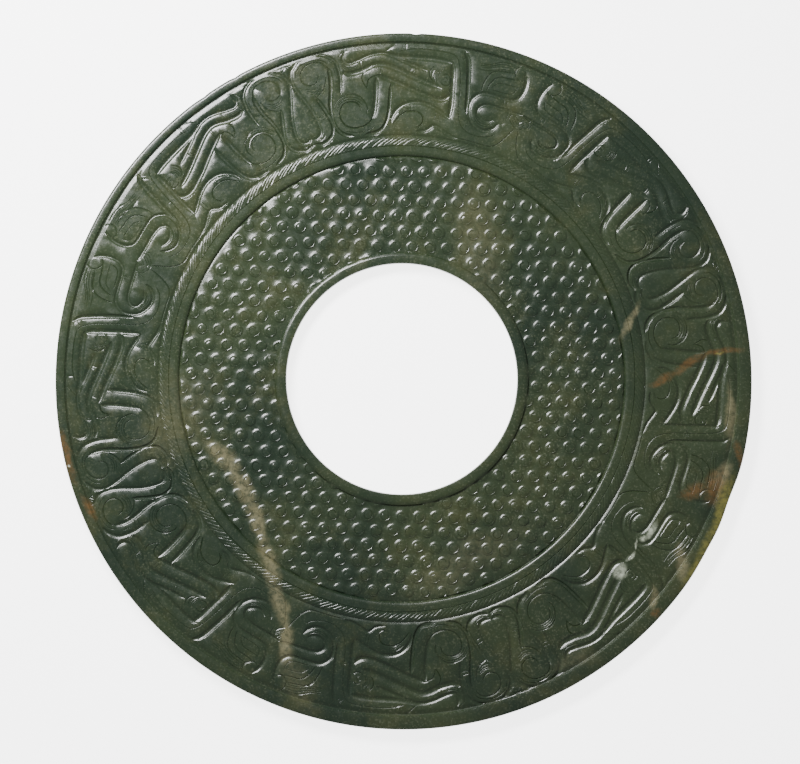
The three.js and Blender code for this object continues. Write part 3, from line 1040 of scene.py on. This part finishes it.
@dataclass(frozen=True)
class JadeFinish:
    """Polished dark green nephrite with olive veins, brown weathering at the edge and a few milky clouds,
    with a painted glow of light through the outer rim and pale flecks that are partly painted glitter.
    """

    deep: Colour = (0.009, 0.019, 0.010, 1)
    green: Colour = (0.022, 0.034, 0.014, 1)
    olive: Colour = (0.044, 0.048, 0.017, 1)
    # pale fleck colour: partly the stone's own fine grain, partly painted glitter of light reflected off the
    # polish
    grain_glitter: Colour = (0.095, 0.105, 0.066, 1)
    vein: Colour = (0.20, 0.18, 0.10, 1)
    rust: Colour = (0.11, 0.058, 0.018, 1)
    milk: Colour = (0.42, 0.46, 0.36, 1)
    # edge: painted glow of the backlight shining through the thin outer rim, in a lighter olive
    edge: Colour = (0.16, 0.15, 0.035, 1)
    veins: tuple[Patch, ...] = (
        Patch((-60, -24.5), 7, 2.6, 137), Patch((-54, -34), 8, 2.6, 118), Patch((-48.5, -46.5), 9, 2.4, 112),
        Patch((-44.5, -60), 9, 2.6, 107), Patch((-41, -74), 9, 2.6, 102), Patch((-38, -86), 6, 2.2, 100),
        Patch((75, 20), 6.5, 1.1, 65), Patch((107.4, -10.5), 9, 1.5, 92), Patch((91.5, -60.5), 6, 1.6, 85),
        Patch((82.3, -71), 3.5, 1.1, 105), Patch((106, -31), 5, 2.4, 75),
    )
    rusts: tuple[Patch, ...] = (
        Patch((-110.6, -24), 8, 1.6, 103), Patch((-104.8, -42), 4, 1.6, 112), Patch((111, -24), 4, 1.2, 100),
        Patch((103.5, -35), 6, 3.4, 70), Patch((96, -36), 4.5, 2.4, 20), Patch((85.5, 0.6), 5, 1.4, 20),
        Patch((94.5, 5.2), 6.5, 1.6, 32), Patch((105, 10), 6.5, 1.0, 17), Patch((84, -76), 1.6, 1.2, 40),
    )
    clouds: tuple[Patch, ...] = (
        Patch((71.6, -63.4), 2.1, 2.0, 60), Patch((74, -58), 2.0, 0.8, 60), Patch((81, -49), 3.0, 1.2, 60),
        Patch((78.7, -51.6), 1.2, 1.0, 0), Patch((76, -53.5), 1.8, 0.5, 80),
        Patch((-109.6, -28), 0.6, 0.5, 0),
    )
    # edges: where the painted rim glow lies: two long ovals on the outer rim at the lower right, and one thin
    # streak in the band
    edges: tuple[Patch, ...] = (
        Patch((104.7, -42.8), 11, 1.9, 66), Patch((97.5, -57.5), 11, 1.6, 58),
        Patch((104.7, 9.4), 1.6, 0.3, 18),
    )
    hazes: tuple[Patch, ...] = (
        Patch((24.5, 46), 20, 7, 100), Patch((-75, -12), 16, 9, 60), Patch((57, -92), 7, 3, 20),
        Patch((-35, -100), 10, 4, 110), Patch((20, -60), 20, 6, 30),
    )

    haze_strength: float = 0.16
    vein_strength: float = 0.62
    rust_strength: float = 0.75
    rim_glow_strength: float = 0.85
    cloud_strength: float = 0.85
    ragged_scale: float = 90.0  # lumps to the metre in the ragged outline of the patches
    ragged_reach: float = 4.0  # how far that outline strays
    roughness: tuple[float, float] = (0.21, 0.31)  # where the polish is best and where it is worn
    refraction: float = 1.52
    grain_bump: float = 0.05  # height of the finest roughness
    wave_bump: float = 0.2  # height of the waves in the polish

    def material(self, mm: float) -> bpy.types.Material:
        """Lays out the nodes.

        Args:
            mm: metres in a millimetre of the disc.

        Returns:
            The jade.
        """
        g = Graph("dark nephrite")
        colour = g.mix(g.ramp(g.noise(16, 5, 0.6), 0.36, 0.64), self.deep, self.green)
        colour = g.mix(g.math("MULTIPLY", g.ramp(g.noise(60, 6, 0.7), 0.45, 0.75), 0.6), colour, self.olive)
        # pale flecks in patches that come and go: partly the stone's fine grain, partly painted glitter of
        # the polish's reflections
        grain_glitter_dots = g.ramp(g.noise(1500, 3, 0.6), 0.52, 0.72)
        grain_glitter_patches = g.ramp(g.noise(30, 4, 0.6), 0.35, 0.65, 0.15, 0.6)
        colour = g.mix(g.math("MULTIPLY", grain_glitter_dots, grain_glitter_patches), colour, self.grain_glitter)
        ragged = self.ragged(g, mm)
        mottle = g.ramp(g.noise(700, 4, 0.7), 0.3, 0.62, 0.25, 1)
        # the edge tint is a painted glow of light through the rim; the other tints are the stone's own
        # colours
        for patches, tint, strength in (
                (self.hazes, self.vein, self.haze_strength), (self.veins, self.vein, self.vein_strength),
                (self.rusts, self.rust, self.rust_strength), (self.edges, self.edge, self.rim_glow_strength),
                (self.clouds, self.milk, self.cloud_strength)):
            cover = g.math("MULTIPLY", self.cover(g, ragged, patches, mm), mottle)
            colour = g.mix(g.math("MULTIPLY", cover, strength), colour, tint)
        g.set(g.shader.inputs["Base Color"], colour)
        g.set(g.shader.inputs["Roughness"], g.ramp(g.noise(500, 3), 0.3, 0.7, *self.roughness))
        g.shader.inputs["IOR"].default_value = self.refraction
        normal = g.bump(g.noise(1300, 4, 0.65), self.grain_bump * mm, 0.55)
        normal = g.bump(g.noise(150, 3), self.wave_bump * mm, 0.3, normal)
        g.set(g.shader.inputs["Normal"], normal)
        return g.material

    def ragged(self, g: Graph, mm: float) -> object:
        """Object coordinates with a ragged shift, so that patch edges aren't smooth."""
        noise = g.nodes.new("ShaderNodeTexNoise")
        g.links.new(g.place, noise.inputs["Vector"])
        noise.inputs["Scale"].default_value = self.ragged_scale
        noise.inputs["Detail"].default_value = 5
        shift = g.nodes.new("ShaderNodeVectorMath")
        shift.operation = "MULTIPLY_ADD"
        g.links.new(noise.outputs["Color"], shift.inputs[0])
        shift.inputs[1].default_value = (2 * self.ragged_reach * mm, 2 * self.ragged_reach * mm, 0)
        g.links.new(g.place, shift.inputs[2])
        centre = g.nodes.new("ShaderNodeVectorMath")
        centre.operation = "SUBTRACT"
        g.links.new(shift.outputs[0], centre.inputs[0])
        centre.inputs[1].default_value = (self.ragged_reach * mm, self.ragged_reach * mm, 0)
        return centre.outputs[0]

    def cover(self, g: Graph, where: object, patches: Sequence[Patch], mm: float) -> object:
        """How much of a tint lies at each place.

        Args:
            g: the material's graph.
            where: coordinates to read.
            patches: ovals that hold the tint.
            mm: metres in a millimetre of the disc.

        Returns:
            The cover, from 0 to 1.
        """
        total = 0.0
        for patch in patches:
            mapping = g.nodes.new("ShaderNodeMapping")
            mapping.vector_type = "TEXTURE"
            g.links.new(where, mapping.inputs["Vector"])
            mapping.inputs["Location"].default_value = (patch.centre[0] * mm, patch.centre[1] * mm, 0)
            mapping.inputs["Rotation"].default_value = (0, 0, math.radians(patch.turn))
            mapping.inputs["Scale"].default_value = (patch.length * mm, patch.width * mm, 1)
            far = g.nodes.new("ShaderNodeVectorMath")
            far.operation = "LENGTH"
            g.links.new(mapping.outputs[0], far.inputs[0])
            total = g.math("MAXIMUM", total, g.ramp(far.outputs["Value"], 1.5, 0.3))
        return total


@dataclass
class Studio:
    """The pale floor, the soft lights and the camera over the disc."""

    mm: float
    picture_width: float = 264.0  # what the picture takes in, across
    lens: float = 200.0
    sensor: float = 36.0
    camera_place: Point = (-1.2, -0.2)
    floor_glow: float = 4.0  # light that the floor gives of its own
    sky: float = 0.34
    key_turn: float = 128.0  # direction that the key light comes from
    key_rise: float = 49.0  # and its height over the floor, in degrees
    key_distance: float = 0.46  # metres
    key_size: Point = (0.24, 0.10)  # metres
    key_power: float = 5.0  # watts

    def floor(self) -> None:
        """Lays the pale floor, which is lit through like a light table, under the disc."""
        bm = bmesh.new()
        bmesh.ops.create_grid(bm, x_segments=1, y_segments=1, size=3)
        mesh = bpy.data.meshes.new("floor")
        bm.to_mesh(mesh)
        bm.free()
        floor = bpy.data.objects.new("floor", mesh)
        bpy.context.scene.collection.objects.link(floor)
        material = bpy.data.materials.new("pale floor")
        material.use_nodes = True
        shader = material.node_tree.nodes["Principled BSDF"]
        shader.inputs["Base Color"].default_value = (0.93, 0.93, 0.94, 1)
        shader.inputs["Roughness"].default_value = 0.9
        shader.inputs["Emission Color"].default_value = (1.0, 1.0, 1.0, 1)
        shader.inputs["Emission Strength"].default_value = self.floor_glow
        mesh.materials.append(material)

    def lights(self) -> None:
        """Sets a near key light at the upper left and a soft sky."""
        world = bpy.data.worlds.new("studio")
        world.use_nodes = True
        sky = world.node_tree.nodes["Background"]
        sky.inputs["Color"].default_value = (1, 1, 1, 1)
        sky.inputs["Strength"].default_value = self.sky
        bpy.context.scene.world = world
        data = bpy.data.lights.new("key", "AREA")
        data.shape, data.energy = "RECTANGLE", self.key_power
        data.size, data.size_y = self.key_size
        light = bpy.data.objects.new("key", data)
        bpy.context.scene.collection.objects.link(light)
        turn, rise = math.radians(self.key_turn), math.radians(self.key_rise)
        far = self.key_distance
        light.location = (far * math.cos(rise) * math.cos(turn), far * math.cos(rise) * math.sin(turn),
                          far * math.sin(rise))
        light.rotation_mode = "QUATERNION"
        light.rotation_quaternion = (-light.location).to_track_quat("-Z", "Y")

    def camera(self) -> None:
        """Hangs a long lens straight over the disc."""
        data = bpy.data.cameras.new("camera")
        data.lens, data.sensor_width = self.lens, self.sensor
        camera = bpy.data.objects.new("camera", data)
        bpy.context.scene.collection.objects.link(camera)
        height = self.picture_width * self.mm * self.lens / self.sensor
        across, up = self.camera_place
        camera.location = (across * self.mm, up * self.mm, height + 5.5 * self.mm)
        data.clip_end = 20
        bpy.context.scene.camera = camera


def main() -> None:
    """Builds the disc and its studio."""
    logging.basicConfig(level=logging.INFO, format="%(message)s")
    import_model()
    low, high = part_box("bi_disc")
    mm = (high.z - low.z) / 5.5
    disc = CarvedDisc(mm).build()
    disc.data.materials.append(JadeFinish().material(mm))
    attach(disc, "root")
    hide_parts("bi_disc")
    studio = Studio(mm)
    studio.floor()
    studio.lights()
    studio.camera()
    LOG.info("carved_disc: one piece, rides on root, stands for bi_disc")


if __name__ == "__main__":
    main()
